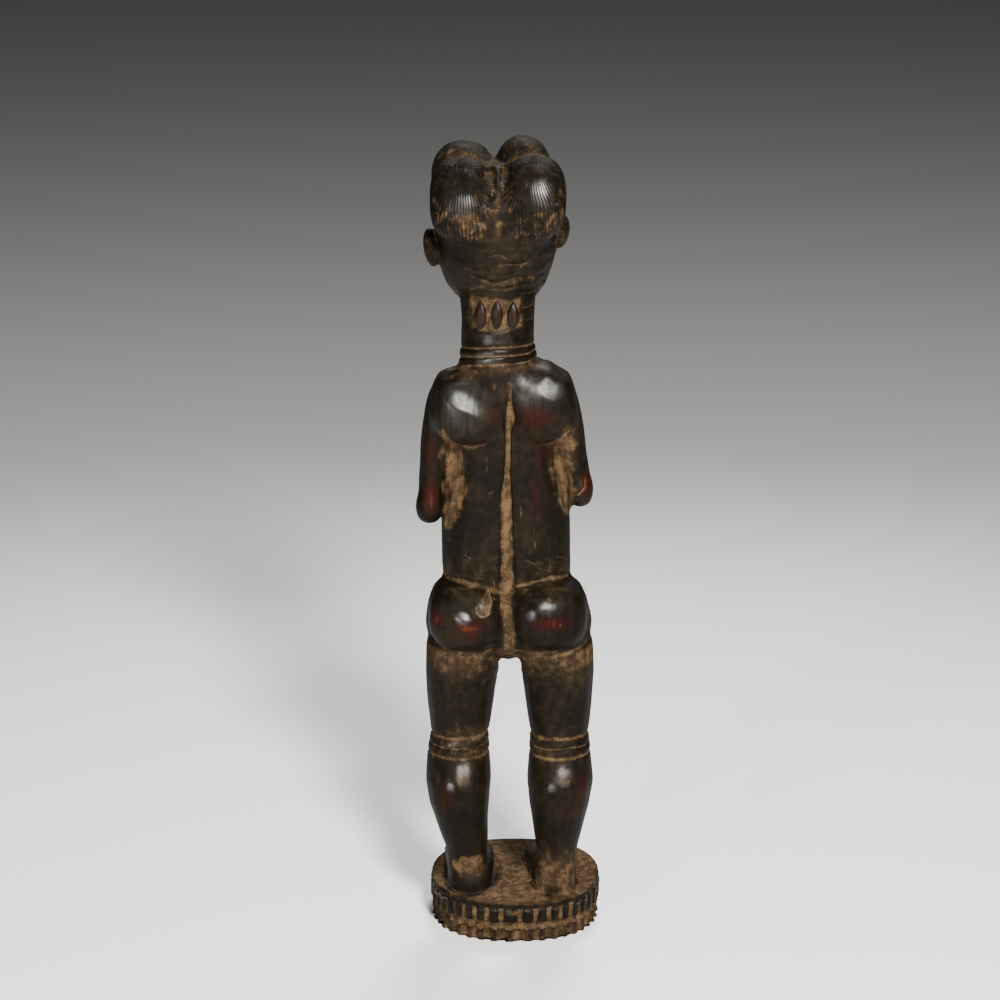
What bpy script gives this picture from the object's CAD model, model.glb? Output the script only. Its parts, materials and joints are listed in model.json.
# A carved wooden figure of a standing person on a round toothed plinth, seen from behind.
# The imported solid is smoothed, carved more finely, and finished in dark polished wood with old dust.
import json
import math

import bpy
import numpy as np
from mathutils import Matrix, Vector

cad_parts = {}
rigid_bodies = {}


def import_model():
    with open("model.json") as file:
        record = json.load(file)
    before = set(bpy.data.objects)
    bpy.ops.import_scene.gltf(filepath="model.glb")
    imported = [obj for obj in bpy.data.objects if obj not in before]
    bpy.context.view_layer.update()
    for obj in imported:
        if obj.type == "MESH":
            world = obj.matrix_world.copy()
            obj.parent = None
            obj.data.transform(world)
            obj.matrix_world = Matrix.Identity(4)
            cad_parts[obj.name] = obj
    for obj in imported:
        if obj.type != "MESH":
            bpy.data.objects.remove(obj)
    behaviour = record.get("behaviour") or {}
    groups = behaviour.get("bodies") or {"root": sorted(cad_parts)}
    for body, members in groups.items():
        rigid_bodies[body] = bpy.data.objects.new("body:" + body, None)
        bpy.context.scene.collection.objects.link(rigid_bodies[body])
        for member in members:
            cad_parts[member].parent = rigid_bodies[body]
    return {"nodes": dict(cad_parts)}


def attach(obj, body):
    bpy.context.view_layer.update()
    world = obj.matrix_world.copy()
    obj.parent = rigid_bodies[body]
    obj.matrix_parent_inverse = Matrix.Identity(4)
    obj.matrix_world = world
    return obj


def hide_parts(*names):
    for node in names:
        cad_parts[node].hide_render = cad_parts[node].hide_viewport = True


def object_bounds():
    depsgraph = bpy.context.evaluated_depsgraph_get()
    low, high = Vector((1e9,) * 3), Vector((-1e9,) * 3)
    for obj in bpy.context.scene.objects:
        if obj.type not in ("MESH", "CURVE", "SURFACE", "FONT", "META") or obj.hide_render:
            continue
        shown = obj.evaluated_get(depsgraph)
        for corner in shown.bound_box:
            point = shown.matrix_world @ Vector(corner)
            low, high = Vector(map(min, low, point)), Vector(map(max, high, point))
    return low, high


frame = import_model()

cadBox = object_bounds()
mm = 0.001
print("frame loaded")


# Camera, lights and floor

view = {
    "aim": (7.8, 0.0, 218.2),  # millimetres
    "elevation": 15.0,  # degrees above level
    "distance": 1600.0,
    "lens": 115.07,
}

studio = {
    "floorSize": 24.0,  # metres
    "floorTone": (0.92, 0.92, 0.925),
    "floorRoughness": 0.9,
    "roomTone": (0.30, 0.305, 0.315),
    "roomLight": 0.098,
    "middle": (0, 0, 0.2),  # what the lamps look at
    "farthest": 60,  # that the camera sees
}

# direction and height in degrees round the figure, distance and width in metres
softboxes = [
    {
        "name": "highSoftbox", "azimuth": 165, "height": 36, "distance": 1.4, "wide": 0.26, "watts": 54,
        "tone": (1.0, 0.98, 0.95),
    },
    {
        "name": "lowSoftbox", "azimuth": 211, "height": 8, "distance": 1.5, "wide": 0.13, "watts": 13,
        "tone": (1.0, 0.98, 0.96),
    },
]

# a soft spot on the face side, for the other views
frontLamp = {
    "azimuth": 10, "height": 50, "distance": 1.8, "cone": 60, "soft": 0.25, "watts": 150,
    "tone": (0.98, 0.99, 1.0),
}


def pointOn(azimuth, height, distance, centre):
    turn, rise = math.radians(azimuth), math.radians(height)
    way = Vector((-math.sin(turn) * math.cos(rise), -math.cos(turn) * math.cos(rise), math.sin(rise)))
    return centre + way * distance


def facingTo(seat, target):
    return (target - seat).to_track_quat("-Z", "Y").to_euler()


def placeCamera():
    aim = Vector(view["aim"]) * mm
    seat = pointOn(180, view["elevation"], view["distance"] * mm, aim)
    bpy.ops.object.camera_add(location=seat, rotation=facingTo(seat, aim))
    camera = bpy.context.object
    camera.name = "camera"
    camera.data.lens = view["lens"]
    camera.data.clip_end = studio["farthest"]
    bpy.context.scene.camera = camera


def lightRoom():
    middle = Vector(studio["middle"])
    for box in softboxes:
        seat = pointOn(box["azimuth"], box["height"], box["distance"], middle)
        bpy.ops.object.light_add(type="AREA", location=seat, rotation=facingTo(seat, middle))
        lamp = bpy.context.object
        lamp.name = box["name"]
        lamp.data.shape = "DISK"
        lamp.data.size = box["wide"]
        lamp.data.energy = box["watts"]
        lamp.data.color = box["tone"]
    seat = pointOn(frontLamp["azimuth"], frontLamp["height"], frontLamp["distance"], middle)
    bpy.ops.object.light_add(type="SPOT", location=seat, rotation=facingTo(seat, middle))
    lamp = bpy.context.object
    lamp.name = "frontLamp"
    lamp.data.spot_size = math.radians(frontLamp["cone"])
    lamp.data.spot_blend = 1.0
    lamp.data.shadow_soft_size = frontLamp["soft"]
    lamp.data.energy = frontLamp["watts"]
    lamp.data.color = frontLamp["tone"]
    world = bpy.data.worlds.new("room")
    world.use_nodes = True
    backdrop = world.node_tree.nodes["Background"]
    backdrop.inputs["Color"].default_value = (*studio["roomTone"], 1)
    backdrop.inputs["Strength"].default_value = studio["roomLight"]
    bpy.context.scene.world = world


def layFloor():
    bpy.ops.mesh.primitive_plane_add(size=studio["floorSize"], location=(0, 0, 0))
    floor = bpy.context.object
    floor.name = "floor"
    paper = bpy.data.materials.new("palePaper")
    paper.use_nodes = True
    shader = paper.node_tree.nodes["Principled BSDF"]
    shader.inputs["Base Color"].default_value = (*studio["floorTone"], 1)
    shader.inputs["Roughness"].default_value = studio["floorRoughness"]
    floor.data.materials.append(paper)


# The figure, taken from the solid and smoothed

block = {
    "weld": 0.01,  # millimetres
    "grain": 0.58,  # size of the fine mesh
    "filling": 420,  # rounds of smoothing that fill the valleys
    "smoothing": 200,  # rounds that take the facets off
    "triangles": 196000,
}
headMiddle = 9.7  # millimetres to the figure's left
chestMiddle = 3.0
neckMiddle = (8.9, 5.5)  # and towards the back


def easeIn(low, high, value):
    t = np.clip((value - low) / (high - low), 0, 1)
    return t * t * (3 - 2 * t)


def onEars(x, z):
    return easeIn(27, 30, abs(x - headMiddle)) * easeIn(334, 338, z) * easeIn(364, 360, z)


def applied(piece, kind, **settings):
    bpy.ops.object.modifier_add(type=kind)
    modifier = piece.modifiers[-1]
    for name, value in settings.items():
        setattr(modifier, name, value)
    bpy.ops.object.modifier_apply(modifier=modifier.name)


def copyOfSolid(node, name):
    bpy.ops.object.select_all(action="DESELECT")
    solid = frame["nodes"][node]
    solid.select_set(True)
    bpy.context.view_layer.objects.active = solid
    bpy.ops.object.duplicate()
    piece = bpy.context.object
    bpy.ops.object.parent_clear(type="CLEAR_KEEP_TRANSFORM")
    bpy.ops.object.transform_apply(location=True, rotation=True, scale=True)
    piece.name = piece.data.name = name
    piece.data.materials.clear()
    bpy.ops.object.mode_set(mode="EDIT")
    bpy.ops.mesh.select_all(action="SELECT")
    bpy.ops.mesh.remove_doubles(threshold=block["weld"] * mm)
    bpy.ops.object.mode_set(mode="OBJECT")
    return piece


def pointsOf(mesh):
    flat = np.empty(len(mesh.vertices) * 3, np.float32)
    mesh.vertices.foreach_get("co", flat)
    return flat.reshape(-1, 3).astype(float) / mm


def setPoints(mesh, points):
    mesh.vertices.foreach_set("co", (points * mm).astype(np.float32).ravel())
    mesh.update()


def facingOf(mesh):
    flat = np.empty(len(mesh.vertices) * 3, np.float32)
    mesh.vertex_normals.foreach_get("vector", flat)
    return flat.reshape(-1, 3).astype(float)


def fillValleys(piece, where):
    # neighbouring forms run into one another, only low places are raised
    mesh = piece.data
    before = pointsOf(mesh)
    facing = facingOf(mesh)
    applied(piece, "SMOOTH", factor=0.5, iterations=block["filling"])
    rise = ((pointsOf(mesh) - before) * facing).sum(axis=1)
    setPoints(mesh, before + facing * (np.clip(rise, 0, None) * where(before))[:, None])


def filledForm(points):
    x, y, z = points.T
    fromNeck = np.hypot(x - neckMiddle[0], y - neckMiddle[1])
    offNeck = np.maximum(easeIn(290, 285, z), easeIn(20, 23, fromNeck))
    shoulders = easeIn(257, 266, z) * easeIn(297, 291, z) * easeIn(-4, 6, y)
    shoulders *= easeIn(47, 40, abs(x - chestMiddle))
    shoulders *= offNeck
    nape = 0.9 * easeIn(336, 345, z) * easeIn(368, 358, z) * easeIn(2, 8, y)
    nape *= easeIn(33, 28, abs(x - headMiddle))
    hair = 0.5 * easeIn(366, 372, z)
    heels = easeIn(17.5, 19.5, z) * easeIn(50, 42, z) * easeIn(-2, 6, y + 20 * (x < 2))
    return np.maximum.reduce([shoulders, nape, hair, heels])


def smoothAway(piece, keep):
    # the facets go, and what smoothing takes off the round forms is put back
    mesh = piece.data
    before = pointsOf(mesh)
    applied(piece, "SMOOTH", factor=0.5, iterations=block["smoothing"])
    once = pointsOf(mesh)
    applied(piece, "SMOOTH", factor=0.5, iterations=block["smoothing"])
    smooth = 2 * once - pointsOf(mesh)
    kept = keep(before)[:, None]
    setPoints(mesh, before * kept + smooth * (1 - kept))


dishes = {
    # middle and half sizes seen from above
    "places": [(22.4, 2.0, 15.0, 35.0), (-23.3, 6.0, 17.0, 34.0)],
    "depth": 2.2,
    "shallower": 1.6,  # the dish round the right foot
    "rim": 0.6,
}


def dishReach(x, y):
    # 0 in the middle of a dish that holds a foot, 1 at its rim
    rows = dishes["places"]
    return np.minimum.reduce([np.hypot((x - cx) / wide, (y - cy) / deep) for cx, cy, wide, deep in rows])


def keptForm(points):
    # plinth, toes, hands, ears and face stay as crisp as the solid has them
    x, y, z = points.T
    plinth = easeIn(23.5, 21, z) * (1 - easeIn(1.0, 0.9, dishReach(x, y)) * easeIn(17, 18.5, z))
    toes = easeIn(-12, -18, y) * easeIn(40, 30, z)
    face = easeIn(-22, -27, y) * easeIn(309, 314, z) * easeIn(368, 362, z)
    ears = 0.8 * onEars(x, z)
    hands = easeIn(-19, -22, y) * easeIn(195, 200, z) * easeIn(232, 226, z)
    return np.clip(np.maximum.reduce([plinth, toes, face, ears, hands]), 0, 1)


# A finer carving knife. It works in millimetres on all the points of a piece at once.

class Carving:
    def __init__(self, piece):
        self.mesh = piece.data
        edges = np.empty(len(self.mesh.edges) * 2, np.int32)
        self.mesh.edges.foreach_get("vertices", edges)
        self.first, self.second = edges.reshape(-1, 2).T
        count = len(self.mesh.vertices)
        self.dust = np.zeros(count)  # settled dust
        self.red = np.zeros(count)  # polish worn to red-brown
        self.gloss = np.full(count, 0.2)  # hand polish
        self.sheen = np.zeros(count)  # broad soft shine where hands have rubbed most
        self.clean = np.zeros(count)  # where dust doesn't stay
        self.strand = np.zeros(count)  # turns of the combed hair
        self.comb = np.zeros(count)  # where the hair is combed
        self.look()

    def look(self):
        self.points = pointsOf(self.mesh)
        self.x, self.y, self.z = self.points.T
        self.facing = facingOf(self.mesh)
        self.behind = easeIn(0.0, 0.35, self.facing[:, 1])
        self.lift = np.zeros(len(self.points))  # outwards
        self.drop = np.zeros(len(self.points))  # straight down

    def cut(self, mask, depth):
        self.lift -= mask * depth

    def settle(self, mask):
        self.dust = np.maximum(self.dust, mask)

    def wipe(self, mask):
        self.clean = np.maximum(self.clean, mask)

    def polish(self, mask):
        self.gloss = np.maximum(self.gloss, mask)

    def rub(self, mask):
        self.sheen = np.maximum(self.sheen, mask)

    def redden(self, mask):
        self.red = np.maximum(self.red, mask)

    def finish(self):
        moved = self.points + self.facing * self.lift[:, None]
        moved[:, 2] -= self.drop
        setPoints(self.mesh, moved)
        self.look()

    # 1 on a line drawn on the back, falling to 0 at its half width. Each point is (x, z, half width),
    # and fray makes the edges uneven
    def line(self, path, fray=0.0):
        nearest = np.full(len(self.x), 9.0)
        for (x0, z0, w0), (x1, z1, w1) in zip(path, path[1:]):
            dx, dz = x1 - x0, z1 - z0
            t = np.clip(((self.x - x0) * dx + (self.z - z0) * dz) / (dx * dx + dz * dz), 0, 1)
            away = np.hypot(self.x - x0 - t * dx, self.z - z0 - t * dz)
            nearest = np.minimum(nearest, away / (w0 + t * (w1 - w0)))
        if fray:
            nearest += fray * (patches(self.points, 2.4, 61) + patches(self.points, 6.0, 62) - 1)
        return easeIn(1, 0, nearest) * self.behind

    # the same for a line through space, whichever way the surface faces. Each point is
    # (x, y, z, half width)
    def band(self, path, fray=0.0):
        nearest = np.full(len(self.x), 9.0)
        for start, end in zip(np.array(path, float), np.array(path[1:], float)):
            way = end[:3] - start[:3]
            t = np.clip((self.points - start[:3]) @ way / (way @ way), 0, 1)
            away = np.linalg.norm(self.points - start[:3] - t[:, None] * way, axis=1)
            nearest = np.minimum(nearest, away / (start[3] + t * (end[3] - start[3])))
        if fray:
            nearest += fray * (patches(self.points, 2.4, 63) + patches(self.points, 6.0, 64) - 1)
        return easeIn(1, 0, nearest)

    # 1 in the middle of an oval spot on the back, 0 at its edge
    def spot(self, x, z, wide, high):
        return easeIn(1, 0, np.hypot((self.x - x) / wide, (self.z - z) / high)) * self.behind

    # the same for rows of (x, z, half wide, half high, amount). An edge below 1 makes the spots fuller.
    def spots(self, rows, edge=None):
        for x, z, wide, high, amount in rows:
            spot = self.spot(x, z, wide, high)
            yield (easeIn(0, edge, spot) if edge else spot) * amount

    # shaves an oval patch on the back towards a flatter face that leans back and turns a little. It keeps
    # the radius bulge
    def shave(self, x, z, wide, high, bulge, lean=0.46, turn=0.12):
        patch = self.spot(x, z, wide, high)
        across, up = self.x - x, self.z - z
        face = self.y[patch > 0.97].mean() + turn * across - lean * up
        face -= (across ** 2 + up ** 2) / (2 * bulge)
        rise = face - self.y
        self.lift += np.where(rise > 0, rise / (1 + rise / 0.5), rise) * patch * self.facing[:, 1]

    # takes the polish off an oval spot
    def dull(self, x, z, wide, high):
        left = 1 - easeIn(0, 0.7, self.spot(x, z, wide, high))
        self.gloss *= left
        self.sheen *= left

    def neighbourMean(self, field):
        total = np.bincount(self.first, field[self.second], len(field))
        total += np.bincount(self.second, field[self.first], len(field))
        return total / self.valence

    # how far the surface lies below its own surroundings, over a given number of steps
    def hollow(self, steps):
        count = len(self.points)
        self.valence = np.bincount(self.first, minlength=count) + np.bincount(self.second, minlength=count)
        around = self.points.copy()
        for _ in range(steps):
            around = np.stack([0.5 * axis + 0.5 * self.neighbourMean(axis) for axis in around.T], axis=1)
        return ((around - self.points) * self.facing).sum(axis=1)


def patches(points, size, seed):
    # smooth random patches from 0 to 1, about size millimetres across
    side = 24
    lattice = np.random.default_rng(seed).random((side, side, side))
    cell = np.floor(points / size).astype(int)
    part = points / size - cell
    part = part * part * (3 - 2 * part)
    total = np.zeros(len(points))
    for corner in np.ndindex(2, 2, 2):
        weight = np.prod(np.where(corner, part, 1 - part), axis=1)
        i, j, k = ((cell + corner) % side).T
        total += weight * lattice[i, j, k]
    return total


# Hair: four lobes of fine combed strands, parted by dusty furrows

hair = {
    # middle, half sizes, strands round the lobe, the way its crown of strands points, how far its
    # upper back slopes away, its shine (x, z, half wide, half high) and the dust below it
    "lobes": [
        {
            "middle": (26.6, 9.5, 371.5), "half": (15.6, 18.6, 20.1), "strands": 56,
            "crown": (0.02, 0.50, 0.84),
            "slope": 2.8, "shine": (24.0, 371.0, 13, 8), "dusty": 0.62,
        },
        {
            "middle": (-9.1, 9.5, 372.6), "half": (15.6, 18.6, 20.1), "strands": 56,
            "crown": (0.12, 0.50, 0.84),
            "slope": 2.2, "shine": (-13.5, 376.5, 10, 13), "dusty": 0.18,
        },
        {
            "middle": (25.7, -11.4, 379.5), "half": (16.0, 17.5, 17.9), "strands": 60,
            "crown": (0.0, 0.45, 0.89),
        },
        {
            "middle": (-3.6, -11.4, 381.8), "half": (14.6, 17.5, 18.2), "strands": 56,
            "crown": (0.0, 0.45, 0.89),
        },
    ],
    "partingWide": 1.7,  # of the dusty furrows between the lobes
    "dustyCrown": [(6.0, -2, 391, 4.0), (-2, -4, 394.5, 4.0), (-8, -5, 395.5, 3.0)],
    "wiped": [(-9, 360, 14, 9, 0.4)],  # x, z, half sizes and how much
}


def carveHair(wood):
    shares = np.array([
        (np.abs((wood.points - lobe["middle"]) / lobe["half"]) ** 2.6).sum(axis=1) for lobe in hair["lobes"]
    ])
    owner = np.argmin(shares, axis=0)
    for number, lobe in enumerate(hair["lobes"]):
        way = (wood.points - lobe["middle"]) / lobe["half"]
        level = way[:, 2]
        onLobe = (owner == number) * easeIn(1.7, 1.3, shares[number]) * easeIn(351, 355, wood.z)
        crown = np.array(lobe["crown"])
        side = np.cross(crown, (0, 0, -1))
        side /= np.linalg.norm(side)
        fall = np.cross(side, crown)
        turn = np.arctan2(way @ side, way @ fall)
        fromCrown = np.arccos(np.clip(way @ crown / np.linalg.norm(way, axis=1), -1, 1))
        # strands run out from the crown and wander a little
        wander = 0.10 * (patches(wood.points, 9.0, 3 + number) - 0.5)
        wander += 0.035 * (patches(wood.points, 2.5, 7 + number) - 0.5)
        wood.strand = np.where(owner == number, (turn + wander) * lobe["strands"], wood.strand)
        fade = easeIn(0.14, 0.45, fromCrown) * easeIn(-1.08, -0.85, level)
        uneven = 0.45 + 0.9 * patches(wood.points, 6.0, 11 + number)
        wood.comb = np.maximum(wood.comb, onLobe * fade * uneven)
        # dust thickens towards the tips, and the top is dull
        wood.settle(onLobe * (0.14 + 0.12 * fade * easeIn(0.2, -0.9, level)))
        wood.settle(onLobe * 0.48 * easeIn(0.6, 0.8, patches(wood.points, 2.4, 19)))
        wood.gloss *= 1 - onLobe * easeIn(-0.2, 0.3, level)
        if "slope" in lobe:
            upper = onLobe * easeIn(-0.15, 0.65, level) * easeIn(1.2, 0.8, level)
            wood.cut(upper * wood.behind, lobe["slope"])
            x, z, wide, high = lobe["shine"]
            shine = easeIn(0, 0.8, wood.spot(x, z, wide, high)) * onLobe
            wood.rub(shine)
            wood.polish(shine)
            wood.settle(wood.spot(x, z - 7, wide, 8) * onLobe * lobe["dusty"])
            wood.wipe(onLobe * easeIn(0.1, 0.5, level) * 0.5)
    # the partings lie where two lobes are equally near
    nearest, second = np.sort(shares, axis=0)[:2]
    uneven = 0.6 * (patches(wood.points, 3.0, 17) + patches(wood.points, 8.0, 18) - 1)
    parting = easeIn(hair["partingWide"], -0.2, second - nearest + uneven) * easeIn(3.2, 2.2, nearest)
    wood.settle(parting * easeIn(346, 352, wood.z) * 0.66)
    wood.settle(wood.band(hair["dustyCrown"], 0.5) * 0.16)
    wood.wipe(0.24 * easeIn(383, 389, wood.z))
    for mask in wood.spots(hair["wiped"]):
        wood.wipe(mask)
    wood.settle(0.34 * onEars(wood.x, wood.z))


# Neck: creases at the nape, raised lozenges in a sunk panel, a smooth collar and two rings

neck = {
    "tilt": (-0.06, 0.13),  # rise of the rings across and front to back
    "ringGrooves": (290.4, 294.7, 298.9),
    "grooveHalf": 1.2,
    "grooveDepth": 0.7,
    "lozenges": [(17.4, 316.4), (9.3, 316.9), (1.2, 316.0)],
    "lozengeHalf": (3.6, 7.0),
    "panel": (9.4, 317.2, 12.6, 7.8),
    "panelDepth": 0.8,
    "lozengeRise": 0.45,
    "creaseDepth": 0.7,
    "napeRelief": ((8.0, 23, 1.8), (3.2, 25, 0.7)),  # size, seed and depth of its hollows
    "rubbedCollar": (13.5, 304.8, 9, 6),  # x, z and half sizes
    "rubbedRings": (14.5, 296, 11, 7),
    "dustyBand": [(19, 330.5, 2.5), (6, 331.5, 3.6), (-3, 334.0, 4.0), (-9, 333.0, 2.0)],
    "creases": [
        [(25.8, 339, 0.6), (18.9, 337.6, 1.1), (13.3, 337.6, 0.5)],
        [
            (21.7, 335.4, 0.6), (13.3, 332.2, 1.5), (7.8, 332.4, 1.3), (2.3, 334.0, 1.7), (-3.3, 334.2, 1.6),
            (-8.9, 333.2, 0.6),
        ],
        [(18.5, 329.6, 0.5), (7.0, 329.0, 1.2), (-6.0, 330.6, 0.5)],
        [(13.3, 345.6, 0.5), (7.8, 347.0, 1.1), (4.3, 344.8, 0.5)],
        [(5.5, 341.6, 0.5), (-2.5, 341.0, 1.1), (-10.5, 342.6, 0.5)],
        [(-2.8, 326.5, 0.5), (-11.0, 325.2, 0.8)],
        [(-3.5, 319.5, 0.4), (-11.4, 318.8, 0.7)],
        [(-2.6, 313.4, 0.4), (-10.6, 312.2, 0.6)],
    ],
}


def carveNeck(wood):
    alongX, alongY = wood.x - neckMiddle[0], wood.y - neckMiddle[1]
    level = wood.z - neck["tilt"][0] * alongX - neck["tilt"][1] * alongY
    level += 0.7 * (patches(wood.points, 11.0, 21) - 0.5)
    onNeck = easeIn(26, 24, np.hypot(alongX, alongY))
    # two rings with a smooth collar above and dust below
    for ring in neck["ringGrooves"]:
        groove = easeIn(neck["grooveHalf"], 0, abs(level - ring)) * onNeck
        wood.cut(groove, neck["grooveDepth"])
        wood.settle(groove * (0.5 + 0.35 * patches(wood.points, 5.0, 26)))
    below = easeIn(282, 288, level) * easeIn(291.5, 290, level) * easeIn(32, 25, abs(alongX))
    wood.settle(below * 0.5 * wood.behind)
    collar = easeIn(299.5, 301, level) * easeIn(310, 308.5, level) * onNeck
    rings = easeIn(290.5, 291.5, level) * easeIn(298.6, 297.6, level) * onNeck
    wood.polish(collar * 0.6 + rings * 0.7)
    wood.rub(collar * 0.5 * wood.spot(*neck["rubbedCollar"]))
    wood.rub(rings * wood.spot(*neck["rubbedRings"]))
    # a sunk dusty panel with dark raised lozenges
    x, z, halfWide, halfHigh = neck["panel"]
    across = np.maximum(abs(wood.x - x) - halfWide, abs(wood.z - z) - halfHigh)
    across += 2.2 * (patches(wood.points, 3.0, 22) - 0.5)
    panel = easeIn(1.8, -1.6, across) * wood.behind
    lozenges = np.zeros(len(wood.x))
    wide, high = neck["lozengeHalf"]
    for cx, cz in neck["lozenges"]:
        reach = np.clip(1 - ((wood.z - cz) / high) ** 2, 0, 1) ** 0.75
        inside = 1 - abs(wood.x - cx) / np.maximum(wide * reach, 0.05)
        lozenges = np.maximum(lozenges, easeIn(0, 0.45, inside) * (reach > 0) * wood.behind)
    wood.cut(panel * (1 - lozenges), neck["panelDepth"])
    wood.cut(lozenges, -neck["lozengeRise"])
    wood.settle(panel * (1 - lozenges) * (0.5 + 0.3 * patches(wood.points, 4.0, 27)))
    wood.wipe(lozenges)
    wood.polish(lozenges * 0.5)
    wood.rub(lozenges * 0.16)
    wood.redden(lozenges * 0.45)
    # the nape, cut unevenly in flat strokes
    nape = easeIn(322, 330, wood.z) * easeIn(364, 350, wood.z)
    nape = nape * easeIn(29, 16, abs(wood.x - 5)) * wood.behind
    flat = wood.points * (0.6, 0.6, 2.2)
    for size, seed, depth in neck["napeRelief"]:
        wood.cut((patches(flat, size, seed) - 0.5) * nape, depth)
    worn = 0.5 * patches(flat, 5.0, 24) + 0.5 * patches(flat, 2.4, 25)
    low = easeIn(345, 336, wood.z)
    middle = easeIn(28, 6, abs(wood.x - 2))
    wood.settle(nape * (0.04 + (0.28 + 0.26 * low) * easeIn(0.34, 0.66, worn) * middle))
    wood.wipe(nape * 0.34)
    wood.settle(wood.line(neck["dustyBand"], 0.6) * 0.80)
    for path in neck["creases"]:
        crease = wood.line(path, 0.35)
        wood.cut(crease, neck["creaseDepth"])
        wood.settle(crease * 0.54)


# Back: shoulder blades, the groove down the spine, hollows beside the arms

back = {
    "spine": [
        (2.4, 280, 0.7), (2.9, 271, 1.9), (2.7, 266.5, 3.1), (3.6, 260, 2.0), (3.8, 247, 1.9),
        (4.3, 236, 2.2), (4.8, 228, 3.7), (4.7, 214, 4.5), (4.3, 192, 5.0), (4.0, 178, 5.4),
    ],
    "spineDepth": 1.1,
    "spineHollow": [(2.9, 283, 3.0), (2.9, 274, 5.0), (3.2, 262, 5.0)],
    "spineHollowDepth": 1.3,
    "hollows": [  # dusty strips beside the arms
        [
            (35.2, 258, 1.6), (31.5, 249, 5.6), (29.5, 240, 7.4), (29.8, 228, 7.4), (31.0, 217, 5.2),
            (34.5, 209, 2.5),
        ],
        [(-25.6, 259, 1.6), (-23.0, 250, 5.6), (-23.0, 240, 6.2), (-24.2, 228, 5.6), (-26.6, 215, 2.5)],
    ],
    "hollowDepth": 0.7,
    "hollowFringe": 3.0,  # of dust round them
    "bladeEdges": [
        [(36.0, 260.5, 0.8), (32.4, 253.5, 2.0), (27.5, 249.6, 2.6), (20.9, 250.6, 1.8), (14.5, 252.6, 0.7)],
        [(-26.8, 260.0, 0.8), (-21.7, 254.0, 2.0), (-15.2, 250.6, 1.9), (-12.0, 251.6, 0.6)],
    ],
    "edgeDepth": 0.9,
    "shoulderDrop": 2.6,  # the outer tops of the shoulders slope away
    "neckRise": (-12.5, 291.5, 9, 1.5),  # x, z, radius and height of the swell beside the neck
    # broad swells and hollows of the polished masses: x, z, half sizes and height
    "swells": [(23, 261, 17, 13, 0.8), (-12, 264, 15, 11, 0.5)],
    # flatter faces that catch the light: x, z, half sizes, radius and lean
    "faces": [(27.0, 271.5, 20, 22, 36, 0.50), (-12.0, 281.5, 26, 22, 60, 0.47)],
    "elbowCrease": [(-34.6, 233.5, 0.4), (-33.9, 228.6, 0.9), (-31.3, 225.6, 0.9), (-28.3, 225.0, 0.7)],
    "creaseDepth": 0.5,
    "nickDepth": 0.3,
    "nicks": [
        [(24.9, 195.2, 0.4), (22.6, 193.8, 0.8)],
        [(-4.6, 193.6, 0.3), (-8.6, 191.6, 0.5), (-12.3, 188.2, 1.0)],
        [(-13.5, 193.4, 0.3), (-19, 193.8, 0.4), (-24.4, 192.6, 0.3)],
        [(13.2, 227.4, 0.9), (10.9, 228.6, 0.7)],
        [(-2.4, 221.0, 1.2), (-2.8, 214.5, 1.0)],
        [(32.9, 201.6, 0.3), (34.6, 200.2, 0.4)],
        [(10.4, 184.5, 0.6), (10.9, 174.5, 0.7)],
        [(14.4, 246, 0.4), (14.0, 240, 0.6), (15.8, 236, 0.3)],
        [(-9.0, 210.0, 0.3), (-9.4, 199.0, 0.4)],
    ],
    # spots of shine, of polish and of red: x, z, half sizes and how much
    "rubbed": [
        (27.0, 271.5, 14, 15, 0.72), (26, 271, 19, 20, 0.40), (-9.5, 279.5, 22, 13, 0.60),
        (40, 262, 5, 10, 0.3),
    ],
    "polished": [(24, 271, 18, 19, 0.5), (-10, 279, 22, 13, 0.45), (-33, 228, 8, 12, 0.5)],
    "reddened": [
        (12, 268, 8, 8, 0.6), (-9, 267, 18, 13, 0.85), (-6, 270, 4, 3, 1.0), (-12, 250, 11, 20, 0.55),
        (42, 248, 7, 18, 0.6), (42, 225, 7, 16, 1.15), (-35, 231, 6, 11, 1.05), (-10, 225, 14, 30, 0.45),
        (14, 240, 10, 30, 0.25),
    ],
    "hazy": [(-9, 279, 20, 12, 0.26)],
    "dulled": (-23, 293, 22, 9),
}


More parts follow.
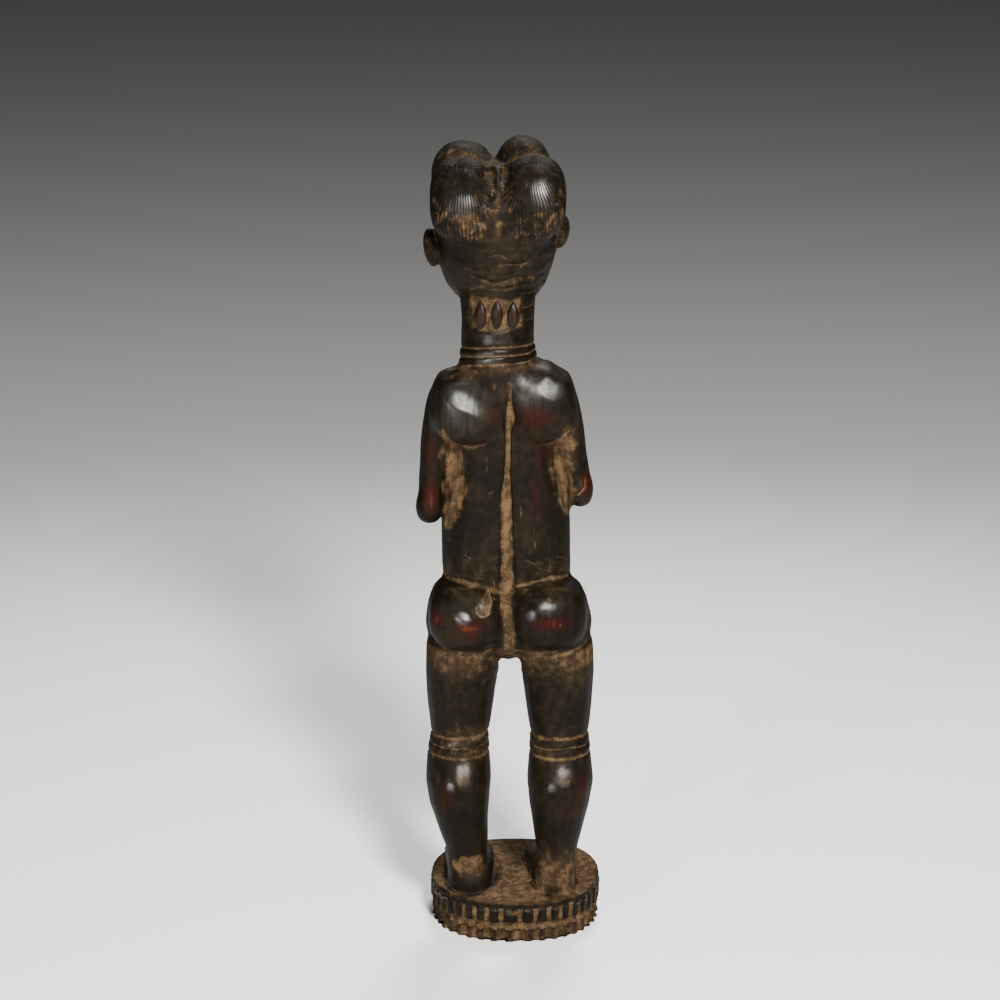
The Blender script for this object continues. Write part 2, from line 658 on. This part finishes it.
def carveBack(wood):
    wood.cut(easeIn(0.0, 0.45, wood.line(back["spine"])), back["spineDepth"])
    streaks = patches(wood.points * (1, 1, 0.12), 1.2, 28)
    wood.settle(easeIn(0.0, 1.0, wood.line(back["spine"], 0.4)) * (0.78 + 0.3 * streaks))
    wood.cut(wood.line(back["spineHollow"]), back["spineHollowDepth"])
    wood.settle(0.45 * wood.line(back["spineHollow"], 0.6))
    for path in back["hollows"]:
        wood.cut(wood.line(path), back["hollowDepth"])
        wider = [(x, z, half + back["hollowFringe"]) for x, z, half in path]
        strip = wood.line(wider, 0.5) * easeIn(28, 22, wood.y)
        wood.settle(strip * (0.86 + 0.3 * streaks))
    # the blades and the tops of the shoulders
    for x, z, wide, high, rise in back["swells"]:
        wood.cut(wood.spot(x, z, wide, high), -rise)
    for face in back["faces"]:
        wood.shave(*face)
    slope = back["shoulderDrop"] * easeIn(282, 290, wood.z) * easeIn(297, 294, wood.z)
    wood.drop += slope * easeIn(20, 29, abs(wood.x - 4.5))
    x, z, radius, rise = back["neckRise"]
    wood.drop -= rise * easeIn(radius, 1, np.hypot(wood.x - x, wood.z - z))
    for path in back["bladeEdges"]:
        edge = wood.line(path, 0.4)
        wood.cut(edge, back["edgeDepth"])
        wood.settle(edge * 0.74)
    crease = wood.line(back["elbowCrease"])
    wood.cut(crease, back["creaseDepth"])
    wood.settle(crease * 0.75)
    for path in back["nicks"]:
        nick = wood.line(path, 0.6)
        wood.cut(nick, back["nickDepth"])
        wood.settle(nick * 0.7)
    # a thin haze over the small of the back
    lower = easeIn(214, 182, wood.z) * easeIn(172, 180, wood.z) * wood.behind
    wood.settle(lower * 0.34)
    for mask in wood.spots(back["rubbed"]):
        wood.rub(mask)
    for mask in wood.spots(back["polished"]):
        wood.polish(mask)
    for mask in wood.spots(back["hazy"]):
        wood.settle(mask)
    wood.dull(*back["dulled"])
    for mask in wood.spots(back["reddened"]):
        wood.redden(mask)


# Hips: a dusty waist line, the cleft and the folds under the buttocks

hips = {
    "waist": [
        [(39.0, 181.8, 1.5), (27.7, 181.8, 2.0), (19.4, 180.6, 2.1), (10.0, 177.6, 2.6), (5.0, 176.0, 3.0)],
        [(-0.5, 179.6, 1.6), (-8.8, 181.8, 2.0), (-17.9, 183.4, 2.0), (-30, 182.0, 1.6)],
    ],
    "cleft": [(5.0, 180, 6.0), (4.6, 172, 6.0), (3.6, 162, 5.2), (3.2, 152, 5.2), (3.2, 140, 7.5)],
    "folds": [
        [(41.5, 151.5, 1.2), (35.2, 147.6, 2.4), (26.9, 145.6, 3.2), (18.6, 144.2, 3.4), (9.0, 142.0, 4.0)],
        [
            (-2.2, 143.0, 4.0), (-10.5, 143.4, 3.2), (-18.8, 144.4, 2.6), (-27.1, 146.2, 2.4),
            (-36.0, 149.5, 1.8),
        ],
    ],
    "chip": [(13.6, 178.6, 1.2), (14.6, 173.6, 3.4), (16.2, 170.6, 4.4)],
    "swells": [
        (14, 167, 12, 14, 0.8), (34, 166, 10, 16, -1.1), (-7, 167, 11, 14, 0.8), (-29, 166, 10, 16, -0.8),
    ],
    "waistDepth": 0.8,
    "foldDepth": 0.8,
    "chipDepth": 0.55,
    "arch": (3.4, 141),  # x and z of the arch between the legs
    "archDrop": 2.2,
    "archRough": 1.2,
    "face": (26, 166.5, 11, 11, 24, 0.48),  # x, z, half sizes, radius and lean
    # spots of shine, of polish and of red: x, z, half sizes and how much
    "rubbed": [(26.3, 166.5, 5.6, 5.0, 1.0), (-7.6, 168, 4, 4, 0.9), (-15.6, 171.5, 5.6, 6.6, 0.65)],
    "polished": [(24, 166, 15, 12, 0.85), (-13, 169, 14, 12, 0.65)],
    "reddened": [
        (23, 161.5, 13, 5.5, 1.25), (39.5, 165, 6, 8, 1.1), (-18, 164, 20, 7, 0.95), (22, 156, 6, 3, 0.9),
        (20, 164, 18, 9, 0.6),
    ],
    "dulled": (-34, 178, 14, 12),
}


def carveHips(wood):
    for path in hips["waist"]:
        seam = wood.line(path, 0.4)
        wood.cut(seam, hips["waistDepth"])
        wood.settle(seam * 0.78)
    cleft = wood.line(hips["cleft"], 0.35) * easeIn(36, 31, wood.y)
    wood.settle(easeIn(0, 0.7, cleft) * (0.67 + 0.14 * easeIn(160, 174, wood.z)))
    fromArch = wood.x - hips["arch"][0], wood.z - hips["arch"][1]
    wood.settle(easeIn(1, 0.2, np.hypot(fromArch[0] / 16, fromArch[1] / 10)) * easeIn(-8, 0, wood.y) * 0.66)
    for path in hips["folds"]:
        fold = wood.line(path, 0.4)
        wood.cut(fold, hips["foldDepth"])
        wood.settle(fold * 0.62)
    for x, z, wide, high, rise in hips["swells"]:
        wood.cut(wood.spot(x, z, wide, high), -rise)
    # a chip with a pale rim
    chip = wood.line(hips["chip"], 0.2)
    flake = easeIn(0.05, 0.3, chip)
    wood.cut(flake, hips["chipDepth"])
    wood.settle(flake * 0.58)
    wood.settle(easeIn(0.02, 0.14, chip) * easeIn(0.4, 0.22, chip) * 1.1)
    wood.rub(flake * 0.5)
    below = easeIn(118, 146, wood.z) * easeIn(150, 146, wood.z) * easeIn(-5, 5, wood.y)
    wood.settle(below * 0.6)
    # the arch between the legs hangs a little lower and is roughly cut
    arch = easeIn(9, 4, abs(fromArch[0])) * easeIn(143, 139, wood.z) * easeIn(122, 129, wood.z)
    wood.drop += hips["archDrop"] * arch * easeIn(0.1, -0.4, wood.facing[:, 2])
    wood.cut((patches(wood.points, 2.4, 29) - 0.55) * arch, hips["archRough"])
    for mask in wood.spots(hips["polished"], 0.8):
        wood.polish(mask)
    wood.shave(*hips["face"])
    for mask in wood.spots(hips["rubbed"], 0.7):
        wood.rub(mask)
    wood.dull(*hips["dulled"])
    for mask in wood.spots(hips["reddened"]):
        wood.redden(mask)


# Legs: banded knees and polished calves

legs = {
    "bandGrooves": (90.8, 95.3, 99.9),
    "grooveHalf": (1.7, 1.0, 1.9),
    "grooveDepth": 0.55,
    "worn": [(30, 98.8, 1.4), (25, 95.6, 2.8), (20.5, 93.6, 1.2)],  # the left bands are worn down here
    "wornDepth": 0.25,
    "wiped": (20.9, 96.8, 5.0, 3.0),
    "glint": (33, 97.4, 4, 2.5),
    "bulges": [(26.6, 83.0, 7.5, 9.5), (-24.0, 82.5, 7.5, 9.0)],  # x, z and half sizes
    "bulgeRadius": 24,
    "glints": [(32.9, 77.6, 2.7, 3.1, 1.0), (-18.2, 76.8, 2.7, 3.1, 1.0)],
    "polished": [(30, 79, 10, 12, 0.5), (-22, 79, 10, 12, 0.5)],
    "reddened": [
        (35, 72, 11, 18, 0.6), (-26, 66, 16, 16, 0.4), (-34, 78, 7, 14, 0.6), (-20, 78, 10, 10, 0.3),
    ],
}


def carveLegs(wood):
    onLegs = easeIn(110, 105, wood.z) * easeIn(85, 88, wood.z)
    sway = 1.3 * (patches(wood.points, 12.0, 31) - 0.5) + 0.6 * (patches(wood.points, 4.0, 32) - 0.5)
    for band, half, amount in zip(legs["bandGrooves"], legs["grooveHalf"], (0.85, 0.55, 0.85)):
        groove = easeIn(half, 0, abs(wood.z - band + sway)) * onLegs
        wood.cut(groove, legs["grooveDepth"])
        wood.settle(groove * amount * (0.8 + 0.4 * patches(wood.points, 6.0, 33)))
    worn = wood.line(legs["worn"], 0.5)
    wood.cut(worn, legs["wornDepth"])
    wood.settle(worn * 0.66)
    # the bands are hazy with dust, more so on the left
    haze = easeIn(112, 100, wood.z) * easeIn(84, 92, wood.z) * wood.behind
    wood.settle(haze * np.where(wood.x > 2, 0.43, 0.32))
    wood.wipe(wood.spot(*legs["wiped"]))
    wood.rub(wood.spot(*legs["glint"]))
    for mask in wood.spots(legs["polished"], 0.6):
        wood.polish(mask)
    for x, z, wide, high in legs["bulges"]:
        wood.shave(x, z, wide * 1.4, high * 1.4, legs["bulgeRadius"])
        rubbed = easeIn(0, 0.6, wood.spot(x, z, wide, high) - 0.3 * patches(wood.points, 1.8, 34))
        wood.rub(rubbed * 0.55)
        wood.settle(rubbed * 0.58)
    for mask in wood.spots(legs["glints"], 0.5):
        wood.rub(mask)
    for mask in wood.spots(legs["reddened"]):
        wood.redden(mask)


# Plinth: dishes round the feet, worn teeth between dusty grooves

plinth = {
    "wide": 88.0,
    "deep": 95.5,
    "squareness": 2.35,
    "teeth": 40,
    "gap": 0.389,  # of a tooth and its groove
    "grooveLevel": 8.2,
    "grooveHalf": 2.3,
    "grooveDepth": 0.6,
    "sideDepth": 0.3,  # off the whole side, so that the worn edge stays within the block
    "edgeLevel": 16.8,
    "edgeRise": 0.3,
    "gapWear": 0.4,
    "lowWear": 1.5,
    "sideWear": 0.5,
    # x, y, z and half widths
    "dustyAnkle": [(30.5, 26, 34, 4.0), (25, 29, 34.5, 6.5), (16.5, 27, 36, 4.5)],
    "footRidge": [(-14, -14, 28, 4.0), (-10, 0, 23, 4.5), (-8.5, 16, 20, 4.5), (-10, 29, 20, 4.0)],
    "footHollow": [(-16, 33, 20, 6.5), (-20, 30, 21, 6.0)],
}


def toothGaps(x, y):
    # 1 in the middle of a groove between two teeth, 0 on the teeth
    power = plinth["squareness"] / 2
    across = np.sign(x) * abs(2 * x / plinth["wide"]) ** power
    along = np.sign(y) * abs(2 * y / plinth["deep"]) ** power
    place = (np.arctan2(along, across) * plinth["teeth"] / (2 * math.pi)) % 1
    return easeIn(0.50, 0.26, abs((place - plinth["gap"] / 2 + 0.5) % 1 - 0.5) / plinth["gap"])


def carvePlinth(wood):
    # the dusty top with a dish round each foot
    onTop = easeIn(0.4, 0.85, wood.facing[:, 2]) * easeIn(24, 21, wood.z) * easeIn(17, 18.5, wood.z)
    reach = dishReach(wood.x, wood.y)
    dished = easeIn(1.0, 0.75, reach) * easeIn(36, 21, wood.z) * easeIn(15, 18, wood.z)
    wood.drop += dished * (dishes["depth"] - dishes["shallower"] * easeIn(0, -6, wood.x))
    rim = easeIn(0.16, 0.04, abs(reach - 1.10)) * onTop
    wood.cut(rim, -dishes["rim"])
    mottle = patches(wood.points, 5.0, 46)
    wood.settle(onTop * (0.62 + 0.22 * mottle))
    wood.settle(rim * 0.95)
    leftDish = easeIn(1.0, 0.88, reach) * easeIn(2, 8, wood.x)
    leftDish *= easeIn(27, 22, wood.z) * easeIn(16, 17, wood.z)
    wood.wipe(0.6 * leftDish * easeIn(-10, 10, wood.y))
    # the feet run into the plinth
    ankle = wood.band(plinth["dustyAnkle"], 0.5)
    wood.cut(ankle, 0.5)
    wood.settle(easeIn(0, 0.6, ankle) * 0.85)
    rightFoot = easeIn(2, -8, wood.x) * easeIn(54, 30, wood.z) * easeIn(19, 21, wood.z)
    wood.settle(rightFoot * (0.42 + 0.34 * mottle))
    ridge = wood.band(plinth["footRidge"], 0.3)
    wood.cut(ridge, -1.0)
    wood.settle(ridge * 0.95)
    wood.wipe(wood.band(plinth["footHollow"], 0.4) * 0.6)
    leftFoot = easeIn(2, 8, wood.x) * easeIn(44, 30, wood.z) * easeIn(26, 30, wood.z)
    wood.settle(leftFoot * 0.36)
    # the toothed side
    side = easeIn(19.6, 18.8, wood.z)
    radial = np.hypot(wood.facing[:, 0], wood.facing[:, 1])
    wood.cut(side * radial, plinth["sideDepth"])
    half = plinth["grooveHalf"]
    channel = easeIn(half, half - 1.2, abs(wood.z - plinth["grooveLevel"])) * side
    wood.cut(channel, plinth["grooveDepth"])
    lowTeeth = side * easeIn(7.0, 5.0, wood.z) * radial
    gaps = toothGaps(wood.x, wood.y) * easeIn(17.6, 17.0, wood.z) * radial
    wood.cut(gaps * patches(wood.points, 4.0, 44), plinth["gapWear"])
    wood.cut(lowTeeth * patches(wood.points, 5.0, 41), plinth["lowWear"])
    wood.cut(side * radial * patches(wood.points, 2.5, 42), plinth["sideWear"])
    grime = 0.34 + 0.16 * easeIn(7.0, 5.0, wood.z)
    wood.settle(side * grime * (0.3 + 1.1 * patches(wood.points, 2.6, 43)))
    filled = 0.26 + 0.4 * patches(wood.points, 3.4, 45) + 0.4 * patches(wood.points, 13.0, 49)
    wood.settle(gaps * filled)
    wood.settle(channel * 0.95)
    # a dark lip, and under it a thin worn edge that glints
    lip = easeIn(17.4, 18.0, wood.z) * easeIn(19.8, 19.2, wood.z) * radial
    wood.wipe(lip * 0.7)
    edge = easeIn(0.9, 0.2, abs(wood.z - plinth["edgeLevel"])) * radial
    edge *= easeIn(0.35, 0.62, patches(wood.points, 3.0, 48))
    wood.cut(edge, -plinth["edgeRise"])
    wood.rub(0.7 * easeIn(0.4, 0.9, edge))
    # some teeth are dark, others and those on the flanks are grimy
    faces = easeIn(10.0, 11.0, wood.z) * easeIn(17.0, 16.4, wood.z) * (1 - gaps) * radial
    flanks = 0.8 * easeIn(0.75, 0.4, wood.facing[:, 1])
    grimy = np.maximum(easeIn(0.5, 0.75, patches(wood.points, 9.0, 47)), flanks)
    wood.settle(faces * grimy * 0.62)
    wood.wipe(0.8 * faces * (1 - grimy))
    wood.polish(faces * 0.28)


# Front: the same hand polish on the raised forms

front = {
    # x, z, half wide, half high and how much they shine
    "polished": [
        (9.5, 362, 22, 12, 0.5), (9.5, 338, 5, 12, 0.7), (24, 333, 9, 9, 0.4), (-6, 333, 9, 9, 0.4),
        (9, 316, 9, 5, 0.5), (22, 264, 18, 18, 0.5), (-10, 268, 18, 18, 0.5), (6, 216, 24, 20, 0.7),
        (24, 172, 16, 16, 0.4), (-16, 172, 16, 16, 0.4), (25, 118, 11, 20, 0.4), (-21, 118, 11, 20, 0.4),
        (26, 78, 9, 22, 0.5), (-22, 78, 9, 22, 0.5),
    ],
}


def polishFront(wood):
    ahead = easeIn(0.0, 0.35, -wood.facing[:, 1]) * easeIn(22, 30, wood.z)
    wood.polish(ahead * 0.3)
    for x, z, wide, high, amount in front["polished"]:
        spot = easeIn(1, 0, np.hypot((wood.x - x) / wide, (wood.z - z) / high)) * ahead
        wood.polish(spot * 0.7)
        wood.rub(spot * amount)
    worn = easeIn(0.5, 0.9, patches(wood.points, 24.0, 71)) * easeIn(300, 285, wood.z)
    wood.redden(ahead * worn * 0.5)


# Wear: hand-cut unevenness and small knocks, then dust in every hollow

wear = {
    # size of the unevenness, its squeeze in height, seed and depth
    "broad": (15.0, 1, 51, 0.7),
    "middling": (6.0, 0.5, 52, 0.28),
    "fine": (2.6, 1, 53, 0.10),
    "dents": 170,
    "dentSize": (0.8, 2.6),
    "dentDepth": (0.08, 0.28),
}


def ageWood(wood):
    above = easeIn(19, 24, wood.z)
    rough = above * (1 - 0.6 * np.clip(wood.sheen, 0, 1))
    for name, where in (("broad", rough), ("middling", rough), ("fine", above)):
        size, stretch, seed, depth = wear[name]
        wood.cut((patches(wood.points * (1, 1, stretch), size, seed) - 0.5) * where, depth)
    chance = np.random.default_rng(7)
    for place in chance.integers(0, len(wood.points), wear["dents"]):
        size = chance.uniform(*wear["dentSize"])
        stretch = np.array((1, 1, chance.uniform(0.35, 1.4)))
        reach = np.linalg.norm((wood.points - wood.points[place]) * stretch, axis=1) / size
        dent = easeIn(1, 0.2, reach) * above
        wood.cut(dent, chance.uniform(*wear["dentDepth"]))
        wood.settle(dent * chance.uniform(0.0, 0.7))
    wood.finish()
    near = wood.hollow(10)
    wide = wood.hollow(70)
    wood.settle(easeIn(0.05, 0.22, near) * 0.75)
    wood.settle(easeIn(0.25, 1.3, wide) * 0.72)
    wood.dust *= (1 - 0.5 * easeIn(-0.05, -0.2, near)) * (1 - np.clip(wood.clean, 0, 1))
    wood.gloss *= easeIn(0.75, 0.35, wood.dust)


def keepWithin(piece, box):
    # nothing stands outside the solid's own box
    low, high = np.array(box[0]) / mm, np.array(box[1]) / mm
    setPoints(piece.data, np.clip(pointsOf(piece.data), low, high))


def carveFigure():
    piece = copyOfSolid("carved_figure", "standingFigure")
    applied(piece, "REMESH", mode="VOXEL", voxel_size=block["grain"] * mm)
    fillValleys(piece, filledForm)
    smoothAway(piece, keptForm)
    print("figure smoothed,", len(piece.data.vertices), "points")
    wood = Carving(piece)
    for step in (carveHair, carveNeck, carveBack, carveHips, carveLegs, carvePlinth, polishFront, ageWood):
        step(wood)
        print(step.__name__, "done")
    layers = {
        "dust": np.clip(wood.dust, 0, 1),
        "red": np.clip(wood.red, 0, 1.2),
        "gloss": np.clip(wood.gloss, 0, 1),
        "sheen": np.clip(wood.sheen, 0, 1),
        "strand": wood.strand,
        "comb": np.clip(wood.comb, 0, 1),
    }
    for name, values in layers.items():
        layer = piece.data.attributes.new(name, "FLOAT", "POINT")
        layer.data.foreach_set("value", values.astype(np.float32))
    count = sum(len(face.vertices) - 2 for face in piece.data.polygons)
    applied(piece, "DECIMATE", ratio=block["triangles"] / count, use_collapse_triangulate=True)
    keepWithin(piece, cadBox)
    bpy.ops.object.shade_smooth()
    print("figure carved,", len(piece.data.polygons), "triangles")
    return piece


# Finish: shader sums are written as Python sums on wires

class Wire:
    def __init__(self, bench, socket):
        self.bench = bench
        self.socket = socket

    def __add__(self, other):
        return self.bench.node("ShaderNodeMath", {"operation": "ADD"}, [self, other])

    def __sub__(self, other):
        return self.bench.node("ShaderNodeMath", {"operation": "SUBTRACT"}, [self, other])

    def __rsub__(self, other):
        return self.bench.node("ShaderNodeMath", {"operation": "SUBTRACT"}, [other, self])

    def __mul__(self, other):
        return self.bench.node("ShaderNodeMath", {"operation": "MULTIPLY"}, [self, other])

    def __pow__(self, other):
        return self.bench.node("ShaderNodeMath", {"operation": "POWER"}, [self, other])

    __radd__ = __add__
    __rmul__ = __mul__


class Bench:
    def __init__(self, name):
        self.material = bpy.data.materials.new(name)
        self.material.use_nodes = True
        self.tree = self.material.node_tree
        self.shader = self.tree.nodes["Principled BSDF"]
        self.place = self.node("ShaderNodeTexCoord", {}, {}, "Object")

    def node(self, kind, settings, values, output=0):
        made = self.tree.nodes.new(kind)
        for name, value in settings.items():
            setattr(made, name, value)
        for key, value in values.items() if isinstance(values, dict) else enumerate(values):
            if isinstance(value, Wire):
                self.tree.links.new(value.socket, made.inputs[key])
            else:
                made.inputs[key].default_value = value
        return Wire(self, made.outputs[output])

    def layer(self, name):
        return self.node("ShaderNodeAttribute", {"attribute_name": name}, {}, "Fac")

    def noise(self, scale, stretch=(1, 1, 1), detail=3.0):
        place = self.node("ShaderNodeMapping", {}, {"Vector": self.place, "Scale": stretch})
        return self.node("ShaderNodeTexNoise", {}, {"Vector": place, "Scale": scale, "Detail": detail}, "Fac")

    def ease(self, value, low, high):
        settings = {"interpolation_type": "SMOOTHSTEP"}
        return self.node("ShaderNodeMapRange", settings, {"Value": value, "From Min": low, "From Max": high})

    def blend(self, factor, first, second):
        settings = {"data_type": "RGBA"}
        return self.node("ShaderNodeMix", settings, {"Factor": factor, "A": first, "B": second}, "Result")


woodTones = {
    "black": (0.0034, 0.0027, 0.0014, 1),
    "brown": (0.0100, 0.0066, 0.0031, 1),
    "red": (0.0190, 0.0027, 0.0014, 1),
    "amber": (0.085, 0.024, 0.0070, 1),
    "earth": (0.034, 0.0205, 0.0098, 1),
    "dust": (0.104, 0.064, 0.0330, 1),
}

woodFinish = {
    "coatRoughness": 0.37,
    "specular": 0.06,
    "bumpStrength": 0.5,
    "bumpDistance": 0.0003,  # metres
    "strandSharpness": 1.4,
}


def polishedWood():
    bench = Bench("darkPolishedWood")
    dust, red, gloss, sheen = (bench.layer(name) for name in ("dust", "red", "gloss", "sheen"))
    strand, comb = bench.layer("strand"), bench.layer("comb")
    cloud = bench.noise(45)
    blotch = bench.noise(260, detail=5)
    fibre = bench.noise(520, (1, 1, 0.10), detail=4)
    speck = bench.noise(1500, detail=2)
    wave = bench.node("ShaderNodeMath", {"operation": "COSINE"}, [strand])
    furrow = ((wave * 0.5 + 0.5) ** woodFinish["strandSharpness"]) * comb
    crest = (1 - furrow) ** 2.2
    tone = bench.ease(cloud * 0.4 + fibre * 0.2 + blotch * 0.4, 0.42, 0.62)
    colour = bench.blend(tone, woodTones["black"], woodTones["brown"])
    colour = bench.blend(bench.ease(red + (fibre - 0.5) * 0.8, 0.15, 0.95) * 0.85, colour, woodTones["red"])
    colour = bench.blend(bench.ease(red + (fibre - 0.5) * 1.5, 0.85, 1.5) * 0.8, colour, woodTones["amber"])
    patchy = dust + (blotch - 0.5) + (speck - 0.5) * 0.7 + (cloud - 0.5) * 0.35 + (fibre - 0.5) * 0.3
    settled = bench.ease(patchy + furrow * 0.3, 0.36, 1.02)
    film = bench.ease(dust + (cloud - 0.5) * 0.5 + (blotch - 0.5) * 0.5, 0.08, 0.75) * 0.62
    grit = blotch * 0.4 + speck * 0.35 + fibre * 0.25
    powder = bench.blend(bench.ease(grit, 0.38, 0.62), woodTones["earth"], woodTones["dust"])
    colour = bench.blend(film, colour, woodTones["earth"])
    colour = bench.blend(settled * 0.92, colour, powder)
    rough = 0.64 - gloss * 0.38 + (blotch - 0.5) * 0.14 + (fibre - 0.5) * 0.18
    rough = rough + settled * 0.4 + film * 0.3
    height = fibre * 0.5 + speck * 0.3 + settled * (speck * 0.9 + 0.4) - furrow * 2.4
    depth = {"Strength": woodFinish["bumpStrength"], "Distance": woodFinish["bumpDistance"], "Height": height}
    bump = bench.node("ShaderNodeBump", {}, depth, "Normal")
    scratch = bench.ease(fibre * 0.55 + speck * 0.45, 0.38, 0.60)
    rubbed = sheen * sheen * 0.8 + 0.2
    shine = sheen * (rubbed + (1 - rubbed) * scratch) * crest * (1 - settled * 0.7)
    shader = bench.shader
    wires = {"Base Color": colour, "Roughness": rough, "Coat Weight": shine, "Normal": bump}
    for name, wire in wires.items():
        bench.tree.links.new(wire.socket, shader.inputs[name])
    shader.inputs["Coat Roughness"].default_value = woodFinish["coatRoughness"]
    shader.inputs["Specular IOR Level"].default_value = woodFinish["specular"]
    return bench.material


placeCamera()
lightRoom()
layFloor()
print("studio ready")

figure = carveFigure()
figure.data.materials.append(polishedWood())
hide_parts("carved_figure")
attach(figure, "root")
print("figure finished")
